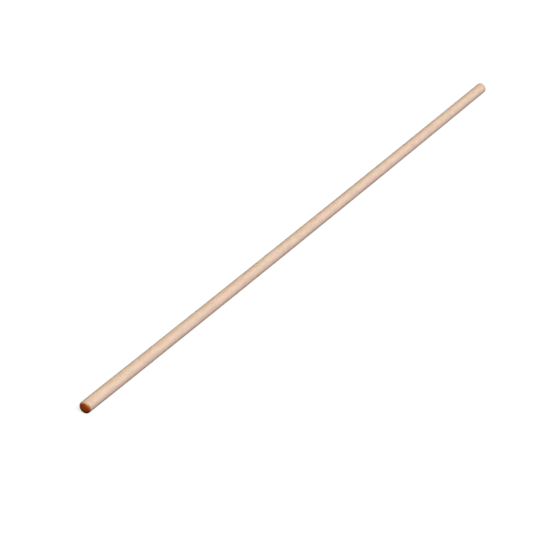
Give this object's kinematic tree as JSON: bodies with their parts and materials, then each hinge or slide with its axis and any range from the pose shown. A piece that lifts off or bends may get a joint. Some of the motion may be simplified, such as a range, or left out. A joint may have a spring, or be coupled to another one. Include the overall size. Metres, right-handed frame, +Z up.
{
  "type": "roller extension pole",
  "caption": "Straight round wooden extension pole for a paint roller, with a plain push-fit tool end and a rounded butt end painted brown-orange.",
  "frame": {"origin": "centre of the tool end's flat face, on the pole's axis", "axes": "+X along the pole, out of the tool end; the painted butt end is at negative X; +Z up with the pole lying flat; the pole is round, so Y and Z are alike"},
  "size_m": [1.524, 0.0238, 0.0238],
  "materials": {
    "pole_wood": "smooth sanded pale wood, unvarnished, satin to matt",
    "butt_paint": "brown-orange dipped paint, semi-gloss"
  },
  "bodies": {
    "root": {"pole_shaft": "pole_wood", "butt_end_coat": "butt_paint"}
  },
  "joints": []
}
